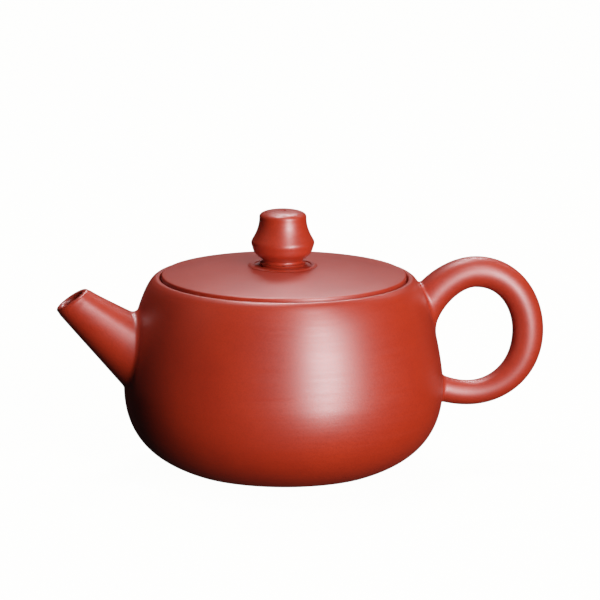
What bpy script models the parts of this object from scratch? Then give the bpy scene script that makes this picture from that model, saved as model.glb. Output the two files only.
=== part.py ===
"""Red clay teapot: a low round body with an inset lid, a straight spout and a ring handle.

Frame: the origin is the centre of the flat base, +Z is up, the spout points along -X and
the handle along +X. Sizes are in metres.
"""

import math

import bmesh
import bpy
from mathutils import Vector, geometry

MM = 0.001
GAP = 0.3 * MM  # slip joint left between two luted pieces
WALL = 2.6 * MM

# Body of revolution, as radius and height.
RIM_RADIUS = 34.0 * MM
RIM_HEIGHT = 50.7 * MM
BELLY_RADIUS = 42.3 * MM
BELLY_HEIGHT = 21.9 * MM
FOOT_RADIUS = 26.5 * MM
SHOULDER_PULL = Vector((4.2, -2.1)) * MM
BELLY_PULL_UP = 6.4 * MM
BELLY_PULL_DOWN = 12.9 * MM
FOOT_PULL = Vector((8.7, 3.3)) * MM
SEAM_HEIGHT = 48.0 * MM  # where the shoulder disc is luted on the wall
WALL_STEPS = 14
SHOULDER_STEPS = 6
TURN_STEPS = 56

# Mouth and lid.
MOUTH_RADIUS = 32.75 * MM
LID_RADIUS = 32.35 * MM
LID_EDGE_HEIGHT = 51.15 * MM
LID_CROWN_HEIGHT = 54.05 * MM
LID_THICKNESS = 2.8 * MM
LEDGE_INNER_RADIUS = 27.6 * MM
LEDGE_THICKNESS = 2.7 * MM
FLANGE_RADIUS = 27.2 * MM
FLANGE_WALL = 2.3 * MM
FLANGE_DEPTH = 6.4 * MM
VENT_RADIUS = 0.8 * MM
EDGE_ROUND = 0.5 * MM
LID_STEPS = 6

# Knob, with heights above the base.
KNOB_SEAT_RADIUS = 9.2 * MM
KNOB_SEAT_TOP = 54.85 * MM
KNOB_BOTTOM = KNOB_SEAT_TOP + GAP
KNOB_TOP = 68.7 * MM
KNOB_TOP_RADIUS = 6.1 * MM
KNOB_RIDGE = Vector((8.15, 60.2)) * MM
KNOB_FOOT_RADIUS = 5.8 * MM
KNOB_STEPS = 36

# Spout: a cone along an axis that rises away from the body.
SPOUT_RISE = math.radians(38.9)
SPOUT_MOUTH = Vector((-56.6, 0.0, 45.8)) * MM
SPOUT_LENGTH = 31.9 * MM
SPOUT_MOUTH_RADIUS = 4.57 * MM
SPOUT_TAPER = 0.192
SPOUT_BORE_RADIUS = 2.7 * MM
SPOUT_BORE_TAPER = 0.178
SPOUT_CUT = math.radians(17.0)  # the mouth is cut so that it faces more upwards than the axis
SPOUT_WIDENING = 0.15  # extra width at the root, sideways
SPOUT_LIP = 0.9 * MM  # depth of the rounding of its lip
SPOUT_STEPS = 28
SPOUT_RINGS = 6

# Strainer: a pierced dome behind the spout's passage.
PASSAGE_RADIUS = 6.4 * MM
PASSAGE_DEPTH = 20.9 * MM  # distance from the spout's mouth to the middle of the passage's drill
PASSAGE_DRILL = 16 * MM
PASSAGE_SIDES = 24
STRAINER_DEPTH = 23.5 * MM  # distance from the spout's mouth to the dome's centre
STRAINER_RADIUS = 9.2 * MM
STRAINER_WALL = 1.7 * MM
STRAINER_HOLE_RADIUS = 0.75 * MM
STRAINER_RINGS = ((1, 0.0), (6, 22.0), (12, 43.0))  # holes in a ring, degrees from the axis
HOLE_SIDES = 8
DOME_SEGMENTS = 24
DOME_RINGS = 16

# Handle: knots as (x, z), pull towards the next knot, pull towards the last one, and radius,
# all in millimetres.
HANDLE_KNOTS = (
    ((34.3, 35.3), (1.3, 2.7), (-1.0, -2.0), 5.1),
    ((37.4, 41.8), (2.3, 4.7), (-1.3, -2.7), 4.75),
    ((51.0, 51.2), (9.4, 0.0), (-5.4, 0.0), 4.07),
    ((65.4, 35.1), (0.0, -10.4), (0.0, 7.8), 4.11),
    ((49.6, 18.5), (-4.3, 0.0), (8.2, 0.0), 3.24),
    ((40.6, 20.2), (-1.5, 0.3), (1.6, -0.3), 3.45),
    ((36.0, 21.1), (-1.0, 0.2), (1.5, -0.3), 3.7),
)
HANDLE_RINGS = 7
HANDLE_ROUNDNESS = 6

parts = bpy.data.collections.new("teapot")
cutters = bpy.data.collections.new("cutters")


def clear_scene():
    for item in list(bpy.data.objects):
        bpy.data.objects.remove(item, do_unlink=True)
    for collection in (parts, cutters):
        bpy.context.scene.collection.children.link(collection)


def clay(name, colour, roughness):
    material = bpy.data.materials.new(name)
    material.use_nodes = True
    shader = material.node_tree.nodes["Principled BSDF"]
    shader.inputs["Base Color"].default_value = (*colour, 1.0)
    shader.inputs["Roughness"].default_value = roughness
    shader.inputs["Metallic"].default_value = 0.0
    return material


def add_part(name, mesh, colour, roughness=0.45, parent=None):
    """A named sub-part with a clay material of its own, shaded smooth."""
    part = bpy.data.objects.new(name, mesh)
    parts.objects.link(part)
    mesh.materials.append(clay(name + "_clay", colour, roughness))
    mesh.shade_smooth()
    mesh.set_sharp_from_angle(angle=math.radians(35))
    part.parent = parent
    return part


def add_cutter(name, mesh):
    cutter = bpy.data.objects.new(name, mesh)
    cutters.objects.link(cutter)
    cutter.hide_render = True
    cutter.display_type = "WIRE"
    return cutter


def loop_mesh(name, outline, closed=True):
    """An outline of (radius, height) points as a mesh of edges, to be turned about Z."""
    mesh = bpy.data.meshes.new(name)
    points = [(radius, 0.0, height) for radius, height in outline]
    edges = [(i, i + 1) for i in range(len(points) - 1)]
    if closed:
        edges.append((len(points) - 1, 0))
    mesh.from_pydata(points, edges, [])
    return mesh


def turn(item, steps):
    screw = item.modifiers.new("turned", "SCREW")
    screw.steps = steps
    screw.render_steps = steps
    screw.use_merge_vertices = True
    screw.merge_threshold = 0.00005
    screw.use_smooth_shade = True
    return screw


def boolean(item, cutter, operation):
    cut = item.modifiers.new(cutter.name, "BOOLEAN")
    cut.operation = operation
    cut.object = cutter
    cut.solver = "EXACT"


def made_real(item, name):
    """A new mesh of an object as its modifiers leave it; the object itself is removed."""
    bpy.context.view_layer.update()
    evaluated = item.evaluated_get(bpy.context.evaluated_depsgraph_get())
    mesh = bpy.data.meshes.new_from_object(evaluated)
    mesh.name = name
    cleaned = bmesh.new()
    cleaned.from_mesh(mesh)
    bmesh.ops.remove_doubles(cleaned, verts=cleaned.verts, dist=0.00001)
    cleaned.to_mesh(mesh)
    cleaned.free()
    bpy.data.objects.remove(item)
    return mesh


def curve_points(start, start_pull, end_pull, end, count):
    """Points along a Bezier stretch of an outline; the pulls are relative to its ends."""
    flat = [Vector((p[0], p[1])) for p in (start, start_pull, end_pull, end)]
    knots = (flat[0], flat[0] + flat[1], flat[3] + flat[2], flat[3])
    points = geometry.interpolate_bezier(*[knot.to_3d() for knot in knots], count)
    return [point.to_2d() for point in points]


def wall_curve(height):
    """The Bezier stretch of the wall's outer side that holds a height, top end first."""
    belly = Vector((BELLY_RADIUS, BELLY_HEIGHT))
    if height >= BELLY_HEIGHT:
        rim = Vector((RIM_RADIUS, RIM_HEIGHT))
        return rim, rim + SHOULDER_PULL, belly + Vector((0, BELLY_PULL_UP)), belly
    foot = Vector((FOOT_RADIUS, 0))
    return belly, belly - Vector((0, BELLY_PULL_DOWN)), foot + FOOT_PULL, foot


def on_curve(knots, t):
    a, b, c, d = knots
    s = 1 - t
    return s**3 * a + 3 * s * s * t * b + 3 * s * t * t * c + t**3 * d


def wall_radius(height):
    """Radius of the wall's outer side at a height, found by halving."""
    knots = wall_curve(height)
    low, high = 0.0, 1.0
    for _ in range(40):
        middle = (low + high) / 2
        if on_curve(knots, middle).y > height:
            low = middle
        else:
            high = middle
    return on_curve(knots, high).x


def inner_radius(height):
    """Radius of the wall's inner side, a wall's thickness in along its slope."""
    step = 0.1 * MM
    slope = (wall_radius(height + step) - wall_radius(height)) / step
    return wall_radius(height) - WALL * math.hypot(1.0, slope)


def heights(top, bottom, count):
    """Heights from top to bottom, closer together at the bottom, where the wall turns under."""
    shares = [math.sin(0.5 * math.pi * i / count) for i in range(count + 1)]
    return [top - (top - bottom) * share for share in shares]


def wall_heights():
    """Heights of the wall's rings, from the seam under the shoulder down to the base."""
    return heights(SEAM_HEIGHT - GAP / 2, 0.0, WALL_STEPS)


def shoulder_heights():
    """Heights of the shoulder's rings, evenly spaced from the rim down to the seam."""
    fall = RIM_HEIGHT - SEAM_HEIGHT - GAP / 2
    return [RIM_HEIGHT - fall * i / SHOULDER_STEPS for i in range(SHOULDER_STEPS + 1)]


def lid_height(radius):
    """Height of the lid's crowned top, a shallow spherical cap."""
    rise = LID_CROWN_HEIGHT - LID_EDGE_HEIGHT
    sphere = (LID_RADIUS**2 + rise**2) / (2 * rise)
    return LID_CROWN_HEIGHT - sphere + math.sqrt(sphere**2 - radius**2)


def spout_point(distance):
    """The point on the spout's axis at a distance from its mouth."""
    return SPOUT_MOUTH + distance * Vector((math.cos(SPOUT_RISE), 0, -math.sin(SPOUT_RISE)))


def spout_turn():
    """Rotation that takes +Z to the spout's axis, pointing out of its mouth."""
    return (0.0, SPOUT_RISE - math.pi / 2, 0.0)


def make_cutters():
    """The body's outer form, its chamber, the spout's passage and the strainer's holes, as solids."""
    outline = [(0, RIM_HEIGHT + MM), (RIM_RADIUS + GAP, RIM_HEIGHT + MM)]
    outline += [(wall_radius(z) + GAP, z) for z in shoulder_heights() + wall_heights()]
    outline += [(0, 0)]
    outer = add_cutter("outer_form", loop_mesh("outer_form", outline, closed=False))
    turn(outer, TURN_STEPS)

    top, bottom = SEAM_HEIGHT - 3 * MM, WALL + MM
    outline = [(0, top)]
    outline += [(inner_radius(z) - GAP, z) for z in heights(top, bottom, WALL_STEPS)]
    outline += [(0, bottom)]
    chamber = add_cutter("chamber_form", loop_mesh("chamber_form", outline, closed=False))
    turn(chamber, TURN_STEPS)

    passage = add_cutter("passage", cylinder("passage", PASSAGE_RADIUS, PASSAGE_DRILL, PASSAGE_SIDES))
    passage.location = spout_point(PASSAGE_DEPTH)
    passage.rotation_euler = spout_turn()

    holes = add_cutter("strainer_holes", strainer_hole_mesh())
    holes.location = spout_point(STRAINER_DEPTH)
    holes.rotation_euler = spout_turn()
    return outer, chamber, passage, holes


def cylinder(name, radius, depth, sides):
    mesh = bpy.data.meshes.new(name)
    shape = bmesh.new()
    bmesh.ops.create_cone(
        shape, cap_ends=True, segments=sides, radius1=radius, radius2=radius, depth=depth
    )
    shape.to_mesh(mesh)
    shape.free()
    return mesh


def strainer_hole_mesh():
    """Short pins in rings about the axis, each square to the dome, on the side away from the spout."""
    mesh = bpy.data.meshes.new("strainer_holes")
    shape = bmesh.new()
    reach = STRAINER_RADIUS - STRAINER_WALL / 2
    for count, angle in STRAINER_RINGS:
        for i in range(count):
            made = bmesh.ops.create_cone(
                shape,
                cap_ends=True,
                segments=HOLE_SIDES,
                radius1=STRAINER_HOLE_RADIUS,
                radius2=STRAINER_HOLE_RADIUS,
                depth=STRAINER_WALL + 2 * MM,
            )
            tilt = math.pi - math.radians(angle)
            swing = 2 * math.pi * i / count
            direction = Vector(
                (math.sin(tilt) * math.cos(swing), math.sin(tilt) * math.sin(swing), math.cos(tilt))
            )
            turned = direction.to_track_quat("Z", "Y").to_matrix()
            bmesh.ops.rotate(shape, verts=made["verts"], matrix=turned)
            bmesh.ops.translate(shape, verts=made["verts"], vec=direction * reach)
    shape.to_mesh(mesh)
    shape.free()
    return mesh


def make_body_wall(passage):
    """The beaten wall, from under the shoulder to the edge of the base."""
    top = SEAM_HEIGHT - GAP / 2
    floor = WALL
    outside = [(wall_radius(z), z) for z in wall_heights()]
    inside = [(inner_radius(z), z) for z in heights(top, floor, WALL_STEPS)]
    outline = outside + [(FOOT_RADIUS, floor)] + inside[::-1]
    wall = add_part("body_wall", loop_mesh("body_wall", outline), (0.38, 0.045, 0.020), 0.42)
    turn(wall, TURN_STEPS)
    boolean(wall, passage, "DIFFERENCE")


def make_base_disc():
    """The flat slab that closes the bottom and carries the pot."""
    mesh = cylinder("base_disc", FOOT_RADIUS - GAP, WALL, TURN_STEPS)
    disc = add_part("base_disc", mesh, (0.33, 0.040, 0.018), 0.55)
    disc.location = (0, 0, WALL / 2)
    bevel = disc.modifiers.new("eased_edge", "BEVEL")
    bevel.width = GAP
    bevel.segments = 1
    bevel.limit_method = "ANGLE"


def make_shoulder_disc():
    """The top disc with the mouth cut out of it, rounded over into the wall."""
    bottom = SEAM_HEIGHT + GAP / 2
    outline = [(MOUTH_RADIUS + GAP, RIM_HEIGHT)]
    outline += [(wall_radius(z), z) for z in shoulder_heights()]
    outline += [(MOUTH_RADIUS, bottom), (MOUTH_RADIUS, RIM_HEIGHT - GAP)]
    disc = add_part("shoulder_disc", loop_mesh("shoulder_disc", outline), (0.38, 0.048, 0.022), 0.40)
    turn(disc, TURN_STEPS)


def make_mouth_ledge():
    """The ring inside the mouth that the lid sits down on."""
    top = SEAM_HEIGHT - GAP / 2
    bottom = top - LEDGE_THICKNESS
    outline = [
        (inner_radius(top) - GAP, top),
        (inner_radius(bottom) - GAP, bottom),
        (LEDGE_INNER_RADIUS, bottom),
        (LEDGE_INNER_RADIUS, top),
    ]
    ledge = add_part("mouth_ledge", loop_mesh("mouth_ledge", outline), (0.34, 0.042, 0.020), 0.55)
    turn(ledge, TURN_STEPS)


def spout_outline():
    """The cone's outer side from a rounded lip to the root, then the bore back to the lip."""
    lip = SPOUT_LIP
    top = SPOUT_LENGTH
    outline = [
        (SPOUT_BORE_RADIUS + lip, top),
        (SPOUT_MOUTH_RADIUS - 0.4 * lip, top - 0.3 * lip),
        (SPOUT_MOUTH_RADIUS, top - lip),
    ]
    for i in range(1, SPOUT_RINGS + 1):
        down = lip + (SPOUT_LENGTH - lip) * i / SPOUT_RINGS
        outline.append((SPOUT_MOUTH_RADIUS + SPOUT_TAPER * down, top - down))
    for i in range(SPOUT_RINGS, 0, -1):
        down = lip + (SPOUT_LENGTH - lip) * i / SPOUT_RINGS
        outline.append((SPOUT_BORE_RADIUS + SPOUT_BORE_TAPER * down, top - down))
    outline.append((SPOUT_BORE_RADIUS, top - lip))
    outline.append((SPOUT_BORE_RADIUS + 0.3 * lip, top - 0.3 * lip))
    return outline


def make_spout(outer):
    """A straight tapered tube, thrown solid and bored, then trimmed to fit the wall."""
    blank = bpy.data.objects.new("spout_blank", loop_mesh("spout_blank", spout_outline()))
    parts.objects.link(blank)
    turn(blank, SPOUT_STEPS)
    mesh = made_real(blank, "spout")
    for vertex in mesh.vertices:
        along = vertex.co.z / SPOUT_LENGTH
        vertex.co.y *= 1 + SPOUT_WIDENING * (1 - along)
        vertex.co.z -= vertex.co.x * math.tan(SPOUT_CUT) * along**2
    spout = add_part("spout", mesh, (0.40, 0.050, 0.022), 0.40)
    spout.location = spout_point(SPOUT_LENGTH)
    spout.rotation_euler = spout_turn()
    boolean(spout, outer, "DIFFERENCE")


def ball(name, radius):
    mesh = bpy.data.meshes.new(name)
    shape = bmesh.new()
    bmesh.ops.create_uvsphere(
        shape, u_segments=DOME_SEGMENTS, v_segments=DOME_RINGS, radius=radius
    )
    shape.to_mesh(mesh)
    shape.free()
    return mesh


def make_strainer(chamber, holes):
    """A pierced dome of thin clay, luted over the passage inside the wall."""
    mesh = ball("strainer", STRAINER_RADIUS)
    strainer = add_part("strainer", mesh, (0.32, 0.040, 0.018), 0.6)
    strainer.location = spout_point(STRAINER_DEPTH)
    strainer.rotation_euler = spout_turn()

    hollow_mesh = ball("strainer_hollow", STRAINER_RADIUS - STRAINER_WALL)
    hollow = add_cutter("strainer_hollow", hollow_mesh)
    hollow.location = strainer.location
    hollow.rotation_euler = strainer.rotation_euler

    boolean(strainer, chamber, "INTERSECT")
    boolean(strainer, hollow, "DIFFERENCE")
    boolean(strainer, holes, "DIFFERENCE")


def make_handle(outer):
    """A rolled coil of clay bent to a ring, thicker at its roots, trimmed to fit the wall."""
    curve = bpy.data.curves.new("handle_path", "CURVE")
    curve.dimensions = "3D"
    curve.bevel_depth = MM
    curve.bevel_resolution = HANDLE_ROUNDNESS
    curve.resolution_u = HANDLE_RINGS
    curve.use_fill_caps = True
    spline = curve.splines.new("BEZIER")
    spline.bezier_points.add(len(HANDLE_KNOTS) - 1)
    for point, (place, ahead, back, radius) in zip(spline.bezier_points, HANDLE_KNOTS):
        point.handle_left_type = "FREE"
        point.handle_right_type = "FREE"
        point.co = Vector((place[0], 0, place[1])) * MM
        point.handle_right = point.co + Vector((ahead[0], 0, ahead[1])) * MM
        point.handle_left = point.co + Vector((back[0], 0, back[1])) * MM
        point.radius = radius
    path = bpy.data.objects.new("handle_path", curve)
    parts.objects.link(path)
    handle = add_part("handle", made_real(path, "handle"), (0.40, 0.050, 0.022), 0.38)
    boolean(handle, outer, "DIFFERENCE")


def make_lid_disc(lid):
    """The crowned lid, flush in the mouth, flat where it sits on the ledge."""
    seat = SEAM_HEIGHT + GAP / 2
    inner = FLANGE_RADIUS - FLANGE_WALL
    reach = LID_RADIUS - EDGE_ROUND - VENT_RADIUS
    radii = [VENT_RADIUS + reach * i / LID_STEPS for i in range(LID_STEPS + 1)]
    top = [(radius, lid_height(radius)) for radius in radii]
    edge = [
        (LID_RADIUS - 0.3 * EDGE_ROUND, LID_EDGE_HEIGHT - 0.3 * EDGE_ROUND),
        (LID_RADIUS, LID_EDGE_HEIGHT - EDGE_ROUND),
        (LID_RADIUS, seat),
        (inner, seat),
    ]
    under_radii = (0.7 * inner, 0.35 * inner, VENT_RADIUS)
    under = [(radius, lid_height(radius) - LID_THICKNESS) for radius in under_radii]
    outline = top + edge + under
    disc = add_part("lid_disc", loop_mesh("lid_disc", outline), (0.38, 0.047, 0.021), 0.42, lid)
    turn(disc, TURN_STEPS)


def make_lid_flange(lid):
    """The ring under the lid that centres it in the ledge."""
    top = SEAM_HEIGHT - GAP / 2
    bottom = top - FLANGE_DEPTH
    inside = FLANGE_RADIUS - FLANGE_WALL
    outline = [
        (FLANGE_RADIUS, top),
        (FLANGE_RADIUS, bottom + EDGE_ROUND),
        (FLANGE_RADIUS - EDGE_ROUND, bottom),
        (inside + EDGE_ROUND, bottom),
        (inside, bottom + EDGE_ROUND),
        (inside, top),
    ]
    flange = add_part("lid_flange", loop_mesh("lid_flange", outline), (0.34, 0.042, 0.020), 0.55, lid)
    turn(flange, TURN_STEPS)


def make_knob_seat(lid):
    """The low stepped ring that the knob stands on."""
    edge = KNOB_SEAT_RADIUS
    outline = [
        (VENT_RADIUS, KNOB_SEAT_TOP),
        (KNOB_FOOT_RADIUS + GAP, KNOB_SEAT_TOP),
        (KNOB_FOOT_RADIUS + 3 * GAP, KNOB_SEAT_TOP - 1.2 * GAP),
        (0.8 * edge, KNOB_SEAT_TOP - 1.2 * GAP),
        (0.87 * edge, KNOB_SEAT_TOP - 0.6 * GAP),
        (0.95 * edge, KNOB_SEAT_TOP - 0.7 * GAP),
        (edge, KNOB_SEAT_TOP - 1.7 * GAP),
        (edge, lid_height(edge) + GAP),
        (VENT_RADIUS, lid_height(VENT_RADIUS) + GAP),
    ]
    seat = add_part("knob_seat", loop_mesh("knob_seat", outline), (0.38, 0.047, 0.021), 0.42, lid)
    turn(seat, KNOB_STEPS)


def make_knob(lid):
    """The waisted knob, bored through for the vent."""
    corner = Vector((KNOB_TOP_RADIUS, KNOB_TOP - 1.6 * MM))
    foot = Vector((KNOB_FOOT_RADIUS, KNOB_BOTTOM))
    crown = [
        (VENT_RADIUS, KNOB_TOP),
        (0.5 * KNOB_TOP_RADIUS, KNOB_TOP - 0.15 * MM),
        (KNOB_TOP_RADIUS - 0.85 * MM, KNOB_TOP - 0.6 * MM),
        (KNOB_TOP_RADIUS - 0.25 * MM, KNOB_TOP - 0.95 * MM),
    ]
    flank = curve_points(corner, Vector((0.05, -2.5)) * MM, Vector((-1.25, 2.4)) * MM, KNOB_RIDGE, 6)
    under = curve_points(KNOB_RIDGE, Vector((0.2, -0.9)) * MM, Vector((1.4, 2.2)) * MM, foot, 6)
    outline = crown + [tuple(p) for p in flank + under[1:]] + [(VENT_RADIUS, KNOB_BOTTOM)]
    knob = add_part("knob", loop_mesh("knob", outline), (0.40, 0.050, 0.022), 0.38, lid)
    turn(knob, KNOB_STEPS)


clear_scene()
outer_form, chamber_form, spout_passage, strainer_holes = make_cutters()
make_body_wall(spout_passage)
make_base_disc()
make_shoulder_disc()
make_mouth_ledge()
make_spout(outer_form)
make_strainer(chamber_form, strainer_holes)
make_handle(outer_form)

lid_axis = bpy.data.objects.new("lid_axis", None)
parts.objects.link(lid_axis)
make_lid_disc(lid_axis)
make_lid_flange(lid_axis)
make_knob_seat(lid_axis)
make_knob(lid_axis)
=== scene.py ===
import math

import bmesh
import bpy
import numpy as np
from mathutils import Matrix, Quaternion, Vector


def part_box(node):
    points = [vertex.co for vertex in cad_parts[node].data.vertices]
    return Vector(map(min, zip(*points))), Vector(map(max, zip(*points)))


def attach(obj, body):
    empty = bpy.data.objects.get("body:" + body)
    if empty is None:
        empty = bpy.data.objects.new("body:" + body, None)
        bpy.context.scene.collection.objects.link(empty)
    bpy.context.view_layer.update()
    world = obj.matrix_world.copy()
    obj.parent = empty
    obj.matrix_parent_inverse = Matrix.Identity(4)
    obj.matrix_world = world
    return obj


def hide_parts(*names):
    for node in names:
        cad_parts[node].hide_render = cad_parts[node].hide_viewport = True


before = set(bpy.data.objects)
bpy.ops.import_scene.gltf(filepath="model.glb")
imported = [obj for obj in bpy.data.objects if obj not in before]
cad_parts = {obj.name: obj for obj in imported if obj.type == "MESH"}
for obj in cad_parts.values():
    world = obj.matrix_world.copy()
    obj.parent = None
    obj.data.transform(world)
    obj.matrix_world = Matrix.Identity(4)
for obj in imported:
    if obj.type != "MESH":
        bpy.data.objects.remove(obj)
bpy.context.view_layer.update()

MM = 0.001

# Camera: a long lens a little above the lid, standing to the spout's side of square on, so
# the spout comes slightly forward and the handle goes slightly back.
CAMERA_AZIMUTH = math.radians(-7.0)
CAMERA_HEIGHT = math.radians(11.6)
CAMERA_ROLL = math.radians(0.28)
CAMERA_DISTANCE = 1.5
CAMERA_LENS = 340.4
AIM = Vector((4.24, -0.5, 44.55)) * MM


def direction(azimuth, height):
    """Unit vector towards a place seen from the pot; azimuth 0 is in front, at -Y, and 90 at +X."""
    flat = math.cos(height)
    return Vector((math.sin(azimuth) * flat, -math.cos(azimuth) * flat, math.sin(height)))


def in_scene(name, data):
    """A new object in the scene that holds a camera, a light or a mesh."""
    made = bpy.data.objects.new(name, data)
    bpy.context.scene.collection.objects.link(made)
    return made


camera = in_scene("camera", bpy.data.cameras.new("camera"))
bpy.context.scene.camera = camera
back = direction(CAMERA_AZIMUTH, CAMERA_HEIGHT)
camera.location = AIM + back * CAMERA_DISTANCE
camera.rotation_mode = "QUATERNION"
camera.rotation_quaternion = (-back).to_track_quat("-Z", "Y") @ Quaternion((0, 0, 1), CAMERA_ROLL)
camera.data.lens = CAMERA_LENS
camera.data.clip_start = 0.1
camera.data.clip_end = 20.0

# Studio: white seamless paper, one tall oval soft box in front to the right, panels behind and
# above that lay a sheen on the lid and the handle, and weak fills for the sides turned away.
# The paper is seen by the camera only, and the oval box shines up through it as well.
FLOOR_WIDTH = 8.0
FLOOR_DROP = 0.02 * MM  # below the base, so that the two faces don't fight
WHITE_LEVEL = 2.0  # the light that shows as full white
PAPER_WHITE = "#FFFFFD"
LIGHT_COLOUR = (0.96, 1.0, 1.04)  # daylight tubes, a little cool
LIGHT_TARGET = Vector((0, 0, 30)) * MM


def linear(code):
    """An sRGB hex colour as the linear values that Blender's sockets hold."""
    shares = [int(code[i : i + 2], 16) / 255 for i in (1, 3, 5)]
    return (*[s / 12.92 if s <= 0.04045 else ((s + 0.055) / 1.055) ** 2.4 for s in shares], 1.0)


def add_node(tree, kind, inputs=None, **settings):
    """A node with its settings, and its inputs given as values or linked from sockets."""
    made = tree.nodes.new(kind)
    for name, value in settings.items():
        setattr(made, name, value)
    for name, value in (inputs or {}).items():
        if isinstance(value, bpy.types.NodeSocket):
            tree.links.new(value, made.inputs[name])
        else:
            made.inputs[name].default_value = value
    return made


def new_material(name):
    """An empty node material."""
    material = bpy.data.materials.new(name)
    material.use_nodes = True
    material.node_tree.nodes.clear()
    return material


def seamless_paper():
    """Matt white photographer's paper, lit so evenly that no edge of it shows."""
    material = new_material("seamless_paper")
    tree = material.node_tree
    paper = add_node(tree, "ShaderNodeBsdfDiffuse", {"Color": linear("#FFFFFF")})
    glow = add_node(
        tree,
        "ShaderNodeEmission",
        {"Color": linear(PAPER_WHITE), "Strength": WHITE_LEVEL},
    )
    mixed = add_node(tree, "ShaderNodeMixShader", {0: 0.94, 1: paper.outputs[0], 2: glow.outputs[0]})
    add_node(tree, "ShaderNodeOutputMaterial", {"Surface": mixed.outputs[0]})
    return material


bpy.ops.mesh.primitive_plane_add(size=FLOOR_WIDTH, location=(0, 0, -FLOOR_DROP))
floor = bpy.context.object
floor.name = "floor"
floor.data.materials.append(seamless_paper())
floor.visible_diffuse = False
floor.visible_glossy = False
floor.visible_shadow = False


def soft_box(name, azimuth, height, distance, width, tall, power, glossy=True, shape="RECTANGLE"):
    """A soft light aimed at the pot's belly: its place in degrees and metres, its size in
    metres, its power in watts, whether the clay mirrors it, and its shape."""
    light = bpy.data.lights.new(name, "AREA")
    light.shape = shape
    light.size = width
    light.size_y = tall
    light.energy = power
    light.color = LIGHT_COLOUR
    box = in_scene(name, light)
    away = direction(math.radians(azimuth), math.radians(height))
    box.location = LIGHT_TARGET + away * distance
    box.rotation_mode = "QUATERNION"
    box.rotation_quaternion = (-away).to_track_quat("-Z", "Y")
    box.visible_camera = False
    box.visible_glossy = glossy


soft_box("key_box", 23, 10, 1.1, 0.46, 0.88, 18.2, shape="ELLIPSE")
soft_box("key_right", 42, 12, 1.1, 0.3, 0.6, 2.2)
soft_box("high_box", 24, 46, 1.1, 0.3, 0.3, 3.4)
soft_box("top_box", 200, 74, 1.0, 0.2, 0.2, 4.8)
soft_box("back_panel", 167, 49, 1.2, 0.34, 0.24, 5.4)
soft_box("back_right", 124, 42, 1.3, 0.3, 0.3, 0.8)
soft_box("left_panel", -80, 30, 1.2, 0.5, 0.5, 0.12)
soft_box("rear_fill", 180, 12, 1.5, 1.4, 0.35, 3.0, glossy=False)

# The room: white where the camera looks past the paper, nearly dark to the pot.
ROOM_LIGHT = 0.01
world = bpy.data.worlds.new("studio")
bpy.context.scene.world = world
world.use_nodes = True
room = world.node_tree
room.nodes.clear()
seen = add_node(room, "ShaderNodeLightPath").outputs["Is Camera Ray"]
dim, white = (
    add_node(room, "ShaderNodeBackground", {"Color": linear(code), "Strength": strength})
    for code, strength in (("#FFFFFF", ROOM_LIGHT), (PAPER_WHITE, WHITE_LEVEL))
)
both = add_node(room, "ShaderNodeMixShader", {0: seen, 1: dim.outputs[0], 2: white.outputs[0]})
add_node(room, "ShaderNodeOutputWorld", {"Surface": both.outputs[0]})

# The camera's response: even through the middle tones, then a soft shoulder, which turns a
# strong sheen on red clay pale pink as film does.
RESPONSE = ((0.0, 0.0), (0.225, 0.45), (0.35, 0.61), (0.5, 0.73), (0.7, 0.87), (1.0, 1.0))
view = bpy.context.scene.view_settings
view.view_transform = "Standard"
view.use_curve_mapping = True
response = view.curve_mapping
response.white_level = (WHITE_LEVEL,) * 3
curve = response.curves[3]
for place, value in RESPONSE[1:-1]:
    curve.points.new(place, value)
response.update()

# Pot wall: red stoneware clay beaten round from a slab, closed at the top by a disc that
# rounds over into it. Its outer side is burnished with a horn tool, its inside left matt.
WALL_THICKNESS = 2.6 * MM
BELLY_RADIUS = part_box("body_wall")[1].y
BELLY_HEIGHT = 21.9 * MM
RIM_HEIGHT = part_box("shoulder_disc")[1].z
RIM_RADIUS = 34.0 * MM
FOOT_RADIUS = 26.5 * MM
SEAM_HEIGHT = 48.0 * MM
TURN_STEPS = 192
CLOUD_SIZE = 14 * MM  # how far apart the clay's darker and lighter patches lie
GRAIN_SIZE = 0.42 * MM
STROKE_SIZE = 0.9 * MM  # from one stroke of the horn tool to the next
STROKE_STRETCH = 0.05  # strokes run level, twenty times longer than they are high
RELIEF_DEPTH = 0.05 * MM
SAME_PLACE = 0.0005 * MM  # points closer than this are one point
SHARP_EDGE = math.radians(38.0)
COARSE_GRAIN_SIZE = 0.6 * MM
COARSE_RELIEF_DEPTH = 0.08 * MM


def ramp(tree, share, start, end):
    """A colour that runs between two ends, each a (share, hex colour)."""
    made = add_node(tree, "ShaderNodeValToRGB", {"Fac": share})
    for element, (position, code) in zip(made.color_ramp.elements, (start, end)):
        element.position = position
        element.color = linear(code)
    return made.outputs[0]


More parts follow.
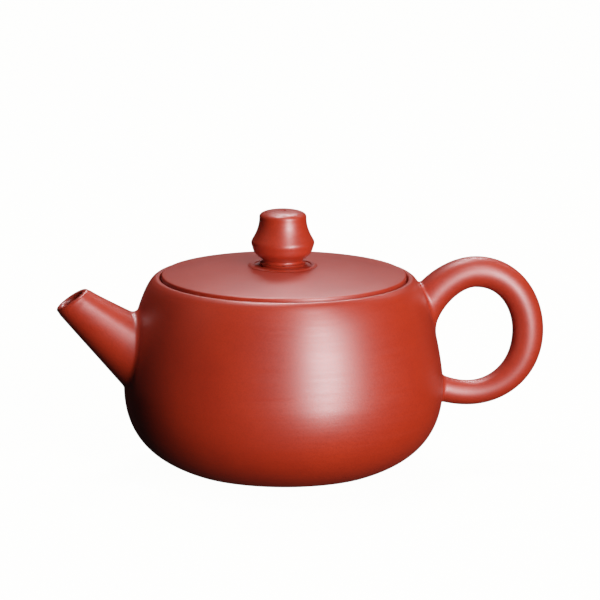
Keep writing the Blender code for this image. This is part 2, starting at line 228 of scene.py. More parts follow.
def burnished_clay(name, smoothest, roughest):
    """Yixing stoneware burnished before firing: a dense red body with fine grog, a satin
    sheen that breaks up at the grain, and faint level lines left by the horn tool."""
    material = new_material(name)
    tree = material.node_tree
    place = add_node(tree, "ShaderNodeTexCoord").outputs["Object"]
    cloud = add_node(
        tree,
        "ShaderNodeTexNoise",
        {"Vector": place, "Scale": 1 / CLOUD_SIZE, "Detail": 3.0, "Roughness": 0.55},
    )
    grain = add_node(
        tree,
        "ShaderNodeTexNoise",
        {"Vector": place, "Scale": 1 / GRAIN_SIZE, "Detail": 2.0, "Roughness": 0.6},
    )
    stretch = (STROKE_STRETCH, STROKE_STRETCH, 1.0)
    level = add_node(tree, "ShaderNodeMapping", {"Vector": place, "Scale": stretch})
    lines = add_node(
        tree,
        "ShaderNodeTexNoise",
        {"Vector": level.outputs[0], "Scale": 1 / STROKE_SIZE, "Detail": 2.0},
    )
    tint = ramp(tree, cloud.outputs["Fac"], (0.3, "#9D240A"), (0.72, "#A8290B"))
    speck = ramp(tree, grain.outputs["Fac"], (0.3, "#D6CFCC"), (0.62, "#FFFFFF"))
    colour = add_node(
        tree,
        "ShaderNodeMix",
        {"Factor": 0.6, "A": tint, "B": speck},
        data_type="RGBA",
        blend_type="MULTIPLY",
    )
    mixed = add_node(
        tree,
        "ShaderNodeMath",
        {0: grain.outputs["Fac"], 1: lines.outputs["Fac"]},
        operation="ADD",
    )
    sheen = add_node(
        tree,
        "ShaderNodeMapRange",
        {
            "Value": mixed.outputs[0],
            "From Min": 0.6,
            "From Max": 1.4,
            "To Min": smoothest,
            "To Max": roughest,
        },
    )
    strokes = add_node(
        tree,
        "ShaderNodeBump",
        {"Height": lines.outputs["Fac"], "Strength": 0.28, "Distance": RELIEF_DEPTH},
    )
    relief = add_node(
        tree,
        "ShaderNodeBump",
        {
            "Height": grain.outputs["Fac"],
            "Strength": 0.12,
            "Distance": RELIEF_DEPTH,
            "Normal": strokes.outputs[0],
        },
    )
    shader = add_node(
        tree,
        "ShaderNodeBsdfPrincipled",
        {
            "Base Color": colour.outputs[2],
            "Roughness": sheen.outputs[0],
            "IOR": 1.7,
            "Normal": relief.outputs[0],
        },
    )
    add_node(tree, "ShaderNodeOutputMaterial", {"Surface": shader.outputs[0]})
    return material


def trimmed_clay():
    """The same stoneware where it was only cut and sponged: paler, dry and open-grained."""
    material = new_material("trimmed_red_stoneware")
    tree = material.node_tree
    place = add_node(tree, "ShaderNodeTexCoord").outputs["Object"]
    grain = add_node(
        tree,
        "ShaderNodeTexNoise",
        {"Vector": place, "Scale": 1 / COARSE_GRAIN_SIZE, "Detail": 4.0, "Roughness": 0.65},
    )
    tint = ramp(tree, grain.outputs["Fac"], (0.3, "#8C3420"), (0.7, "#A6452E"))
    relief = add_node(
        tree,
        "ShaderNodeBump",
        {"Height": grain.outputs["Fac"], "Strength": 0.3, "Distance": COARSE_RELIEF_DEPTH},
    )
    shader = add_node(
        tree,
        "ShaderNodeBsdfPrincipled",
        {
            "Base Color": tint,
            "Roughness": 0.72,
            "IOR": 1.5,
            "Normal": relief.outputs[0],
        },
    )
    add_node(tree, "ShaderNodeOutputMaterial", {"Surface": shader.outputs[0]})
    return material


BURNISHED = burnished_clay("burnished_red_stoneware", 0.36, 0.44)
RUBBED = burnished_clay("hand_rubbed_red_stoneware", 0.4, 0.5)
TRIMMED = trimmed_clay()


def shaping_tree(name, inputs):
    """A Geometry Nodes tree with its inputs, each a name and a kind, and one output, Piece."""
    tree = bpy.data.node_groups.new(name, "GeometryNodeTree")
    tree.is_modifier = True
    for label, kind in inputs:
        tree.interface.new_socket(label, in_out="INPUT", socket_type="NodeSocket" + kind)
    tree.interface.new_socket("Piece", in_out="OUTPUT", socket_type="NodeSocketGeometry")
    return tree, add_node(tree, "NodeGroupInput").outputs


def end_tree(tree, shape, clay):
    """The last nodes of a tree: its instances made real and its clay given."""
    real = add_node(tree, "GeometryNodeRealizeInstances", {0: shape})
    done = add_node(tree, "GeometryNodeSetMaterial", {"Geometry": real.outputs[0], "Material": clay})
    add_node(tree, "NodeGroupOutput", {"Piece": done.outputs[0]})


def shape_with(item, tree, values):
    """Gives an object a Geometry Nodes modifier and the tree's inputs their values."""
    modifier = item.modifiers.new("shaped", "NODES")
    modifier.node_group = tree
    for socket in tree.interface.items_tree:
        if socket.name in values:
            modifier[socket.identifier] = values[socket.name]


def turning_tree():
    """Turns a row of points, placed by radius along X and by height, about Z into a skin."""
    inputs = (("Profile", "Geometry"), ("Steps", "Int"), ("Clay", "Material"))
    tree, given = shaping_tree("turned_clay", inputs)
    count = add_node(tree, "GeometryNodeAttributeDomainSize", {0: given["Profile"]})
    columns = add_node(tree, "ShaderNodeMath", {0: given["Steps"], 1: 1.0}, operation="ADD")
    grid = add_node(
        tree,
        "GeometryNodeMeshGrid",
        {"Vertices X": columns.outputs[0], "Vertices Y": count.outputs["Point Count"]},
    )
    index = add_node(tree, "GeometryNodeInputIndex").outputs[0]
    rows = count.outputs["Point Count"]
    column = add_node(tree, "FunctionNodeIntegerMath", {0: index, 1: rows}, operation="DIVIDE")
    row = add_node(tree, "FunctionNodeIntegerMath", {0: index, 1: rows}, operation="MODULO")
    share = add_node(
        tree,
        "ShaderNodeMath",
        {0: column.outputs[0], 1: given["Steps"]},
        operation="DIVIDE",
    )
    angle = add_node(tree, "ShaderNodeMath", {0: share.outputs[0], 1: math.tau}, operation="MULTIPLY")
    place = add_node(
        tree,
        "GeometryNodeSampleIndex",
        {
            "Geometry": given["Profile"],
            "Value": add_node(tree, "GeometryNodeInputPosition").outputs[0],
            "Index": row.outputs[0],
        },
        data_type="FLOAT_VECTOR",
    )
    swung = add_node(
        tree,
        "ShaderNodeVectorRotate",
        {"Vector": place.outputs[0], "Angle": angle.outputs[0]},
        rotation_type="Z_AXIS",
    )
    placed = add_node(
        tree,
        "GeometryNodeSetPosition",
        {"Geometry": grid.outputs["Mesh"], "Position": swung.outputs[0]},
    )
    merged = add_node(
        tree,
        "GeometryNodeMergeByDistance",
        {"Geometry": placed.outputs[0], "Distance": SAME_PLACE},
    )
    end_tree(tree, merged.outputs[0], given["Clay"])
    return tree


TURNING = turning_tree()


def evaluated_mesh(item, name):
    """The plain mesh that an object's modifiers leave; the object is removed."""
    bpy.context.view_layer.update()
    mesh = bpy.data.meshes.new_from_object(item.evaluated_get(bpy.context.evaluated_depsgraph_get()))
    mesh.name = name
    for i in reversed(range(len(mesh.materials))):
        if mesh.materials[i] is None:
            mesh.materials.pop(index=i)
    bpy.data.objects.remove(item)
    return mesh


def smooth(mesh):
    """Doubles merged, faces outward, shaded smooth but for real edges."""
    shape = bmesh.new()
    shape.from_mesh(mesh)
    bmesh.ops.remove_doubles(shape, verts=shape.verts, dist=SAME_PLACE)
    bmesh.ops.recalc_face_normals(shape, faces=shape.faces)
    shape.to_mesh(mesh)
    shape.free()
    mesh.shade_smooth()
    mesh.set_sharp_from_angle(angle=SHARP_EDGE)


def leave_matt(mesh, unburnished):
    """Gives the trimmed clay's finish to the faces that no tool could burnish."""
    smooth(mesh)
    mesh.materials.append(TRIMMED)
    for face in mesh.polygons:
        if unburnished(face):
            face.material_index = len(mesh.materials) - 1


def show(mesh, name, body, node):
    """Puts a finished mesh in the scene in place of a CAD node."""
    piece = in_scene(name, mesh)
    smooth(mesh)
    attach(piece, body)
    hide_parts(node)


def turned(name, outline, clay, steps=TURN_STEPS):
    """The mesh of a piece turned from a closed outline of (radius, height) points."""
    mesh = bpy.data.meshes.new(name + "_outline")
    points = [(radius, 0.0, height) for radius, height in outline]
    points.append(points[0])
    mesh.from_pydata(points, [(i, i + 1) for i in range(len(points) - 1)], [])
    profile = in_scene(name + "_outline", mesh)
    shape_with(profile, TURNING, {"Steps": steps, "Clay": clay})
    return evaluated_mesh(profile, name)


def bezier(start, first, second, end, count):
    """Points, or whole rings of points, along a Bezier stretch, its ends included."""
    a, b, c, d = (np.asarray(p, float) for p in (start, first, second, end))
    t = np.linspace(0, 1, count + 1).reshape(-1, *[1] * a.ndim)
    return (1 - t) ** 3 * a + 3 * (1 - t) ** 2 * t * b + 3 * (1 - t) * t * t * c + t**3 * d


def eased(corners, count=6):
    """An outline whose corners, each a (radius, height, ease), are rounded by their ease."""
    points = []
    for i, (x, y, ease) in enumerate(corners):
        corner = np.array((x, y))
        if not ease:
            points.append(corner)
            continue
        before = np.array(corners[i - 1][:2]) - corner
        after = np.array(corners[(i + 1) % len(corners)][:2]) - corner
        start = corner + before / np.hypot(*before) * ease
        end = corner + after / np.hypot(*after) * ease
        points.extend(bezier(start, (start + 2 * corner) / 3, (end + 2 * corner) / 3, end, count))
    return points


rim = np.array((RIM_RADIUS, RIM_HEIGHT))
belly = np.array((BELLY_RADIUS, BELLY_HEIGHT))
foot = np.array((FOOT_RADIUS, 0.0))
upper_side = bezier(
    rim, rim + np.array((4.2, -2.1)) * MM, belly + np.array((0, 6.4)) * MM, belly, 400
)
lower_side = bezier(
    belly, belly - np.array((0, 12.9)) * MM, foot + np.array((8.7, 3.3)) * MM, foot, 400
)
side = np.vstack((upper_side, lower_side[1:]))


def wall_radius(height):
    """Radius of the pot's outer side at a height or an array of heights."""
    return np.interp(height, side[::-1, 1], side[::-1, 0])


def inner_side(points):
    """The same curve moved in by the wall's thickness, square to it."""
    along = np.gradient(points, axis=0)
    along /= np.hypot(along[:, 0], along[:, 1])[:, None]
    return points + np.stack((along[:, 1], -along[:, 0]), axis=1) * WALL_THICKNESS


below_seam = side[side[:, 1] < SEAM_HEIGHT][::7]
outer = np.vstack(([[wall_radius(SEAM_HEIGHT), SEAM_HEIGHT]], below_seam[:-1], [foot]))
inner = inner_side(outer)
inner = inner[(inner[:, 1] > WALL_THICKNESS) & (inner[:, 1] < SEAM_HEIGHT - 1.5 * MM)][::2]
wall_outline = [*outer, (FOOT_RADIUS, WALL_THICKNESS), *inner[::-1]]
wall_outline.append((inner[0][0], SEAM_HEIGHT))
wall_mesh = turned("body_wall", wall_outline, BURNISHED)

# Spout: thrown as a solid cone and bored, its mouth cut to face upwards and its lip rounded.
# The root is luted on the wall and the slip smoothed to a small fillet all round.
SPOUT_RISE = math.radians(38.9)
SPOUT_LENGTH = 31.9 * MM
SPOUT_MOUTH = np.array((-56.6, 0.0, 45.8)) * MM
MOUTH_RADIUS = 4.57 * MM
MOUTH_BORE = 2.7 * MM
TAPER = 0.192
BORE_TAPER = 0.178
MOUTH_CUT = math.tan(math.radians(17.0))
WIDENING = 0.15
BORE_ROOT = 20.4 * MM  # how far down from the mouth the bore opens into the passage
PASSAGE_RADIUS = 6.4 * MM
PASSAGE_DEPTH = 20.9 * MM
DRILL_LENGTH = 16 * MM
LIP_ROUND = 0.85 * MM
LIP_FLARE = 0.45 * MM
LIP_FLARE_REACH = 2.2 * MM
SPOUT_FILLET = 1.0 * MM
TOP_FILLET = 1.6 * MM  # more slip in the crook on top
FILLET_PULL = 0.62
ROOT_SINK = 0.6 * MM
AROUND = np.linspace(0, math.tau, 129)[:-1]
spout_axis = np.array((math.cos(SPOUT_RISE), 0.0, -math.sin(SPOUT_RISE)))  # from mouth to root
spout_up = np.array((math.sin(SPOUT_RISE), 0.0, math.cos(SPOUT_RISE)))
sideways = np.array((0.0, 1.0, 0.0))


def spout_ring(down, radius):
    """A ring on the spout, a distance down from its mouth, sheared by the mouth's cut."""
    down = np.broadcast_to(down, AROUND.shape)
    radius = np.broadcast_to(radius, AROUND.shape)
    along = 1 - down / SPOUT_LENGTH
    flare = LIP_FLARE * np.exp(-down / LIP_FLARE_REACH) * (1 + np.cos(AROUND)) / 2
    rise = radius * np.cos(AROUND) + flare
    across = radius * np.sin(AROUND) * (1 + WIDENING * (1 - along))
    depth = down + rise * MOUTH_CUT * along**2
    return (
        SPOUT_MOUTH
        + depth[:, None] * spout_axis
        + rise[:, None] * spout_up
        + across[:, None] * sideways
    )


def outside_wall(points):
    """How far points lie outside the pot's side, measured level."""
    return np.hypot(points[:, 0], points[:, 1]) - wall_radius(points[:, 2])


def wall_normal(points):
    """Outward normals of the pot's side at points on it."""
    step = 0.05 * MM
    slope = (wall_radius(points[:, 2] + step) - wall_radius(points[:, 2] - step)) / (2 * step)
    flat = points[:, :2] / np.hypot(points[:, 0], points[:, 1])[:, None]
    normal = np.column_stack((flat, -slope))
    return normal / np.linalg.norm(normal, axis=1)[:, None]


def meeting(ring, outside, inside):
    """Where each line of a tube, ring(distance), meets the wall, found by halving."""
    low = np.full(AROUND.shape, outside)
    high = np.full(AROUND.shape, inside)
    for _ in range(40):
        middle = (low + high) / 2
        out = outside_wall(ring(middle)) > 0
        low = np.where(out, middle, low)
        high = np.where(out, high, middle)
    return high


def root_rings(ring, meet, run, spread, count=10):
    """Rings of a fillet from a tube, `run` short of the wall, out to `spread` along the wall,
    and one more ring sunk into the clay. `run` is negative where the tube leaves the wall."""
    corner = ring(meet)
    start = ring(meet - run)
    nudge = np.sign(run) * 0.05 * MM
    heading = start - ring(meet - run - nudge)
    heading /= np.linalg.norm(heading, axis=1)[:, None]
    normal = wall_normal(corner)
    around = np.roll(corner, -1, axis=0) - np.roll(corner, 1, axis=0)
    away = np.cross(normal, around)
    away /= np.linalg.norm(away, axis=1)[:, None]
    outward = np.einsum("ij,ij->i", away, corner - corner.mean(axis=0))
    away *= np.sign(outward)[:, None]
    end = corner + away * spread[:, None]
    end[:, :2] *= (wall_radius(end[:, 2]) / np.hypot(end[:, 0], end[:, 1]))[:, None]
    end_normal = wall_normal(end)
    leaving = away - end_normal * np.einsum("ij,ij->i", away, end_normal)[:, None]
    first = start + heading * (FILLET_PULL * np.abs(run))[:, None]
    second = end - leaving * (FILLET_PULL * spread)[:, None]
    return [*bezier(start, first, second, end, count), end - end_normal * ROOT_SINK]


def skin(name, rings, clay, closed=True):
    """A mesh through rings of points; the last ring joins the first where it is closed."""
    count = len(rings[0])
    points = np.vstack(rings)
    faces = []
    spans = len(rings) if closed else len(rings) - 1
    for i in range(spans):
        here, there = i * count, (i + 1) % len(rings) * count
        for j in range(count):
            k = (j + 1) % count
            faces.append((here + j, here + k, there + k, there + j))
    if not closed:
        faces.append(tuple(range(count)))
        faces.append(tuple(range((len(rings) - 1) * count, len(rings) * count)))
    mesh = bpy.data.meshes.new(name)
    mesh.from_pydata([tuple(p) for p in points], [], faces)
    mesh.materials.append(clay)
    return mesh


def spout_side(down):
    """A ring of the spout's outer side."""
    return spout_ring(down, MOUTH_RADIUS + TAPER * down)


spout_meet = meeting(spout_side, 8 * MM, SPOUT_LENGTH)
spout_rings = []
for down in np.linspace(BORE_ROOT, LIP_ROUND, 16):
    spout_rings.append(spout_ring(down, MOUTH_BORE + BORE_TAPER * (down - LIP_ROUND)))
for turn in np.linspace(0, math.pi / 2, 8)[1:]:
    radius = MOUTH_BORE + LIP_ROUND * (1 - math.cos(turn))
    spout_rings.append(spout_ring(LIP_ROUND * (1 - math.sin(turn)), radius))
for turn in np.linspace(0, math.pi / 2, 8):
    radius = MOUTH_RADIUS - LIP_ROUND * (1 - math.sin(turn))
    spout_rings.append(spout_ring(LIP_ROUND * (1 - math.cos(turn)), radius))
spread = SPOUT_FILLET + TOP_FILLET * np.clip(np.cos(AROUND), 0, 1) ** 2
for share in np.linspace(0, 1, 22)[1:-1]:
    spout_rings.append(spout_side(LIP_ROUND + share * (spout_meet - spread - LIP_ROUND)))
spout_rings += root_rings(spout_side, spout_meet, spread, spread)
show(skin("spout", spout_rings, BURNISHED), "spout", "pot", "spout")


def trimmed_by(form, operation, mesh, name):
    """A mesh less the shape of another object, or only what lies inside that shape."""
    item = in_scene(name, mesh)
    smooth(mesh)
    cut = item.modifiers.new("trimmed", "BOOLEAN")
    cut.operation = operation
    cut.object = form
    cut.solver = "EXACT"
    made = evaluated_mesh(item, name)
    bpy.data.objects.remove(form)
    return made


bpy.ops.mesh.primitive_cylinder_add(vertices=64, radius=PASSAGE_RADIUS, depth=DRILL_LENGTH)
drill = bpy.context.object
drill.location = SPOUT_MOUTH + PASSAGE_DEPTH * spout_axis
drill.rotation_euler = (0.0, SPOUT_RISE - math.pi / 2, 0.0)
wall_mesh = trimmed_by(drill, "DIFFERENCE", wall_mesh, "body_wall")


def is_inside(face):
    """Whether a face of the wall lies well in from its outer side."""
    return math.hypot(*face.center[:2]) < wall_radius(face.center.z) - 1 * MM


leave_matt(wall_mesh, is_inside)
show(wall_mesh, "body_wall", "pot", "body_wall")

# Shoulder disc: the slab that closes the top, with the mouth cut out of it. Its upper side is
# level to the rim, then rounds over so that it reads as one with the wall.
MOUTH_EDGE = 32.85 * MM
above_seam = side[side[:, 1] > SEAM_HEIGHT][::7]
seam = np.array((wall_radius(SEAM_HEIGHT), SEAM_HEIGHT))
shoulder_corners = [(MOUTH_EDGE, SEAM_HEIGHT, 0), (MOUTH_EDGE, RIM_HEIGHT - 0.1 * MM, 0.4 * MM)]
shoulder_corners.append((RIM_RADIUS, RIM_HEIGHT, 0.45 * MM))
shoulder_corners += [(x, y, 0) for x, y in above_seam[4:]]
shoulder_corners.append((*seam, 0))
shoulder = turned("shoulder_disc", eased(shoulder_corners), BURNISHED)
show(shoulder, "shoulder_disc", "pot", "shoulder_disc")

# Mouth ledge: a ring of clay luted inside the mouth, which carries the lid. It is trimmed
# square with a knife and left matt.
ledge_low, ledge_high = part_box("mouth_ledge")
LEDGE_INNER = 27.6 * MM
ledge_corners = [
    (LEDGE_INNER, ledge_low.z, 0.4 * MM),
    (LEDGE_INNER, SEAM_HEIGHT - 0.05 * MM, 0.3 * MM),
    (ledge_high.y, SEAM_HEIGHT - 0.05 * MM, 0),
    (ledge_high.y + 0.4 * MM, ledge_low.z - 0.3 * MM, 0),
]
ledge = turned("mouth_ledge", eased(ledge_corners), TRIMMED)
show(ledge, "mouth_ledge", "pot", "mouth_ledge")

# Base disc: a flat slab luted in from below. Its middle is scraped very slightly hollow, so
# that the pot stands on the outer band.
HOLLOW_DEPTH = 0.5 * MM
base_corners = [
    (0.02 * MM, WALL_THICKNESS, 0),
    (FOOT_RADIUS, WALL_THICKNESS, 0),
    (FOOT_RADIUS, 0, 0),
    (FOOT_RADIUS - 4 * MM, 0, 1.5 * MM),
    (FOOT_RADIUS - 9 * MM, HOLLOW_DEPTH, 2 * MM),
    (0.02 * MM, HOLLOW_DEPTH, 0),
]
base = turned("base_disc", eased(base_corners), TRIMMED)
show(base, "base_disc", "pot", "base_disc")

# Handle: a coil rolled thicker at its ends, bent to a ring and luted on. The slip is drawn
# out to a long fillet in the crook under the upper root and to short ones elsewhere.
HANDLE_KNOTS = np.array(
    (
        # x, z, pull ahead in x and z, pull back in x and z, radius, all in millimetres
        (34.3, 35.3, 1.3, 2.7, -1.0, -2.0, 5.1),
        (37.4, 41.8, 2.3, 4.7, -1.3, -2.7, 4.75),
        (51.0, 51.2, 9.4, 0.0, -5.4, 0.0, 4.07),
        (65.4, 35.1, 0.0, -10.4, 0.0, 7.8, 4.11),
        (49.6, 18.5, -4.3, 0.0, 8.2, 0.0, 3.24),
        (40.6, 20.2, -1.5, 0.3, 1.6, -0.3, 3.45),
        (36.0, 21.1, -1.0, 0.2, 1.5, -0.3, 3.7),
    )
)
SPAN_POINTS = 60
path, thickness = [], []
for here, there in zip(HANDLE_KNOTS[:-1], HANDLE_KNOTS[1:]):
    span = bezier(here[:2], here[:2] + here[2:4], there[:2] + there[4:6], there[:2], SPAN_POINTS)
    ease = np.linspace(0, 1, SPAN_POINTS + 1)
    ease = ease * ease * (3 - 2 * ease)
    path.extend(span[:-1])
    thickness.extend((here[6] + (there[6] - here[6]) * ease)[:-1])
path = np.array(path) * MM
thickness = np.array(thickness) * MM
length = np.concatenate(([0], np.cumsum(np.hypot(*np.diff(path, axis=0).T))))


def handle_ring(distance):
    """A ring round the handle's coil at a distance, or one for each point, along its path."""
    distance = np.broadcast_to(distance, AROUND.shape)
    step = 0.4 * MM
    centre = np.column_stack([np.interp(distance, length, path[:, i]) for i in (0, 1)])
    ahead = np.column_stack([np.interp(distance + step, length, path[:, i]) for i in (0, 1)])
    behind = np.column_stack([np.interp(distance - step, length, path[:, i]) for i in (0, 1)])
    heading = ahead - behind
    heading /= np.hypot(heading[:, 0], heading[:, 1])[:, None]
    radius = np.interp(distance, length, thickness)
    out = radius * np.cos(AROUND)
    return np.column_stack(
        (
            centre[:, 0] - heading[:, 1] * out,
            radius * np.sin(AROUND),
            centre[:, 1] + heading[:, 0] * out,
        )
    )


upper_meet = meeting(handle_ring, 30 * MM, 1.5 * MM)
lower_meet = meeting(handle_ring, length[-1] - 20 * MM, length[-1] - 1 * MM)
crook = (1 - np.cos(AROUND)) / 2  # 0 on the outer side of the ring, 1 on the inner side
upper_spread = (1.0 + 1.8 * crook**1.5) * MM
lower_spread = (1.1 + 0.3 * crook) * MM
upper_root = root_rings(handle_ring, upper_meet, -upper_spread, upper_spread)
lower_root = root_rings(handle_ring, lower_meet, lower_spread, lower_spread)
handle_rings = upper_root[::-1]
first, last = upper_meet + upper_spread, lower_meet - lower_spread
for share in np.linspace(0, 1, 130)[1:-1]:
    handle_rings.append(handle_ring(first + (last - first) * share))
handle_rings += lower_root
handle = skin("handle", handle_rings, RUBBED, closed=False)
show(handle, "handle", "pot", "handle")

# Strainer: a thin dome of clay pierced with a needle, cut to the curve of the wall and luted
# inside it over the spout's passage.
STRAINER_DEPTH = 23.5 * MM
STRAINER_RADIUS = 9.2 * MM
STRAINER_WALL = 1.7 * MM
LUTED_INTO_WALL = 0.3 * MM
HOLE_RADIUS = 0.75 * MM
HOLE_RINGS = ((1, 0.0), (6, 22.0), (12, 43.0))


def piercing_tree():
    """Cuts a pin-shaped hole through a dome at each of the points given."""
    inputs = (("Points", "Geometry"), ("Dome", "Object"), ("Hole radius", "Float"))
    inputs += (("Pin length", "Float"), ("Clay", "Material"))
    tree, given = shaping_tree("pierced_dome", inputs)
    pin = add_node(
        tree,
        "GeometryNodeMeshCylinder",
        {"Vertices": 20, "Radius": given["Hole radius"], "Depth": given["Pin length"]},
    )
    position = add_node(tree, "GeometryNodeInputPosition").outputs[0]
    turn = add_node(tree, "FunctionNodeAlignRotationToVector", {"Vector": position}, axis="Z")
    pins = add_node(
        tree,
        "GeometryNodeInstanceOnPoints",
        {"Points": given["Points"], "Instance": pin.outputs[0], "Rotation": turn.outputs[0]},
    )
    dome = add_node(tree, "GeometryNodeObjectInfo", {"Object": given["Dome"]})
    cut = add_node(
        tree,
        "GeometryNodeMeshBoolean",
        {"Mesh 1": dome.outputs["Geometry"], "Mesh 2": pins.outputs[0]},
        operation="DIFFERENCE",
        solver="EXACT",
    )
    end_tree(tree, cut.outputs[0], given["Clay"])
    return tree


dome_outline = []
for radius, turns in ((STRAINER_RADIUS, 1), (STRAINER_RADIUS - STRAINER_WALL, -1)):
    for angle in np.linspace(0.0, math.pi, 70)[::turns]:
        reach = max(radius * math.sin(angle), 0.001 * MM)
        dome_outline.append((reach, radius * math.cos(angle)))
dome_mesh = turned("dome", dome_outline, TRIMMED, 96)
smooth(dome_mesh)
dome = in_scene("dome", dome_mesh)
reach = STRAINER_RADIUS - STRAINER_WALL / 2
hole_points = []
for count, angle in HOLE_RINGS:
    tilt = math.radians(angle)
    across = reach * math.sin(tilt)
    for swing in (math.tau * i / count for i in range(count)):
        hole_points.append(
            (across * math.cos(swing), across * math.sin(swing), reach * math.cos(tilt))
        )
points_mesh = bpy.data.meshes.new("strainer")
points_mesh.from_pydata(hole_points, [], [])
strainer = in_scene("strainer_points", points_mesh)
pin = {"Hole radius": HOLE_RADIUS, "Pin length": STRAINER_WALL + 2 * MM}
shape_with(strainer, piercing_tree(), {"Dome": dome, **pin, "Clay": TRIMMED})
pierced = evaluated_mesh(strainer, "strainer")
bpy.data.objects.remove(dome)
placed = Vector((0, 0, 1)).rotation_difference(Vector(spout_axis)).to_matrix().to_4x4()
placed.translation = Vector(SPOUT_MOUTH + STRAINER_DEPTH * spout_axis)
pierced.transform(placed)
chamber_side = inner + np.array((LUTED_INTO_WALL, 0))
top_height, low_height = inner[0][1], inner[-1][1]
chamber_outline = [(0.01 * MM, top_height), *chamber_side, (0.01 * MM, low_height)]
chamber_mesh = turned("chamber", chamber_outline, TRIMMED)
smooth(chamber_mesh)
chamber = in_scene("chamber", chamber_mesh)
pierced = trimmed_by(chamber, "INTERSECT", pierced, "strainer")
show(pierced, "strainer", "pot", "strainer")

# Lid: a crowned disc that drops into the mouth with a hair's gap round it, its edge eased.
# It is burnished like the wall on top and left matt below.
LID_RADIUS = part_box("lid_disc")[1].y
LID_EDGE = 51.45 * MM
LID_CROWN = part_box("lid_disc")[1].z
LID_THICKNESS = 2.8 * MM
FLANGE_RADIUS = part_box("lid_flange")[1].y
FLANGE_WALL = 2.3 * MM
VENT_RADIUS = 0.7 * MM


def crown(radius):
    """Height of the lid's upper side, part of a wide sphere."""
    rise = LID_CROWN - LID_EDGE
    sphere = (LID_RADIUS**2 + rise**2) / (2 * rise)
    return LID_CROWN - sphere + math.sqrt(sphere**2 - radius**2)


under_lid = SEAM_HEIGHT + 0.02 * MM
flange_inner = FLANGE_RADIUS - FLANGE_WALL
lid_corners = [(r, crown(r), 0) for r in np.linspace(VENT_RADIUS, LID_RADIUS - 1.2 * MM, 40)]
lid_corners += [
    (LID_RADIUS, crown(LID_RADIUS), 0.4 * MM),
    (LID_RADIUS, under_lid, 0.2 * MM),
    (flange_inner, under_lid, 0),
]
lid_corners += [
    (r, crown(r) - LID_THICKNESS, 0) for r in np.linspace(0.75 * flange_inner, VENT_RADIUS, 8)
]
lid = turned("lid_disc", eased(lid_corners), BURNISHED)
leave_matt(lid, lambda face: face.normal.z < -0.5)
show(lid, "lid_disc", "lid", "lid_disc")

# Lid flange: the ring luted under the lid that drops inside the ledge and keeps the lid
# centred. It is only trimmed.
flange_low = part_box("lid_flange")[0]
flange_corners = [
    (FLANGE_RADIUS, under_lid, 0),
    (FLANGE_RADIUS, flange_low.z, 0.6 * MM),
    (flange_inner, flange_low.z, 0.6 * MM),
    (flange_inner, under_lid, 0),
]
flange = turned("lid_flange", eased(flange_corners), TRIMMED)
show(flange, "lid_flange", "lid", "lid_flange")

# Knob seat: a thin disc luted on the lid, with a raised band round it that is turned with a
# profiled strip of horn, and a groove cut in under the knob's foot.
SEAT_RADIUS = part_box("knob_seat")[1].y
SEAT_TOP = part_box("knob_seat")[1].z
KNOB_FOOT = 5.8 * MM
KNOB_SHIFT = Matrix.Translation((-0.35 * MM, 0, 0))  # a hair off the centre
seat_corners = [
    (VENT_RADIUS, SEAT_TOP - 0.05 * MM, 0),
    (KNOB_FOOT + 0.4 * MM, SEAT_TOP - 0.1 * MM, 0.08 * MM),
    (KNOB_FOOT, crown(KNOB_FOOT) + 0.08 * MM, 0),
    (0.8 * SEAT_RADIUS, crown(KNOB_FOOT) + 0.08 * MM, 0),
    (0.82 * SEAT_RADIUS, SEAT_TOP - 0.55 * MM, 0.12 * MM),
    (0.92 * SEAT_RADIUS, SEAT_TOP - 0.55 * MM, 0.2 * MM),
    (SEAT_RADIUS, crown(SEAT_RADIUS) + 0.1 * MM, 0.03 * MM),
    (SEAT_RADIUS - 0.2 * MM, crown(SEAT_RADIUS) - 0.1 * MM, 0),
    (VENT_RADIUS, crown(SEAT_RADIUS), 0),
]
seat = turned("knob_seat", eased(seat_corners), BURNISHED, 128)
seat.transform(KNOB_SHIFT)
show(seat, "knob_seat", "lid", "knob_seat")

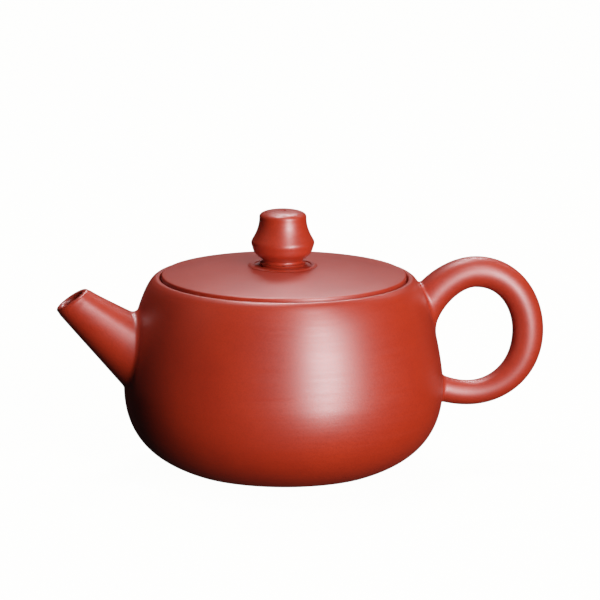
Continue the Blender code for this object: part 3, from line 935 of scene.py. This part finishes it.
# Knob: turned like a small waisted drum, slightly domed on top, with the vent pierced down
# through it so that the pot pours freely.
KNOB_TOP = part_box("knob")[1].z
KNOB_TOP_RADIUS = 6.2 * MM
KNOB_RIDGE = np.array((8.4, 59.95)) * MM
RIDGE_ROUND = 0.95 * MM
flank_top = np.array((KNOB_TOP_RADIUS, KNOB_TOP - 1.7 * MM))
ridge_over = KNOB_RIDGE + np.array((-0.35, 1.0)) * RIDGE_ROUND
ridge_under = KNOB_RIDGE + np.array((-0.45, -1.2)) * RIDGE_ROUND
knob_foot = np.array((KNOB_FOOT - 0.45 * MM, SEAT_TOP + 0.7 * MM))
crown_curve = bezier(
    (VENT_RADIUS + 0.3 * MM, KNOB_TOP),
    (0.6 * KNOB_TOP_RADIUS, KNOB_TOP - 0.05 * MM),
    (KNOB_TOP_RADIUS, KNOB_TOP - 0.45 * MM),
    flank_top,
    20,
)
flank = bezier(
    flank_top,
    flank_top + np.array((-0.05, -2.4)) * MM,
    ridge_over + np.array((-1.1, 1.9)) * MM,
    ridge_over,
    24,
)
ridge = bezier(
    ridge_over,
    ridge_over + np.array((0.5, -0.85)) * RIDGE_ROUND,
    ridge_under + np.array((0.3, 0.9)) * RIDGE_ROUND,
    ridge_under,
    8,
)
under = bezier(
    ridge_under,
    ridge_under + np.array((-0.4, -1.7)) * MM,
    knob_foot + np.array((1.6, 1.5)) * MM,
    knob_foot,
    24,
)
flare = bezier(
    knob_foot,
    knob_foot + np.array((-0.2, -0.35)) * MM,
    (KNOB_FOOT - 0.2 * MM, SEAT_TOP),
    (KNOB_FOOT + 0.15 * MM, SEAT_TOP),
    8,
)
knob_outline = [(VENT_RADIUS, KNOB_TOP - 0.3 * MM)]
for stretch in (crown_curve, flank[1:], ridge[1:], under[1:], flare[1:]):
    knob_outline.extend(stretch)
knob_outline.append((VENT_RADIUS, SEAT_TOP))
knob = turned("knob", knob_outline, BURNISHED, 128)
knob.transform(KNOB_SHIFT)
show(knob, "knob", "lid", "knob")
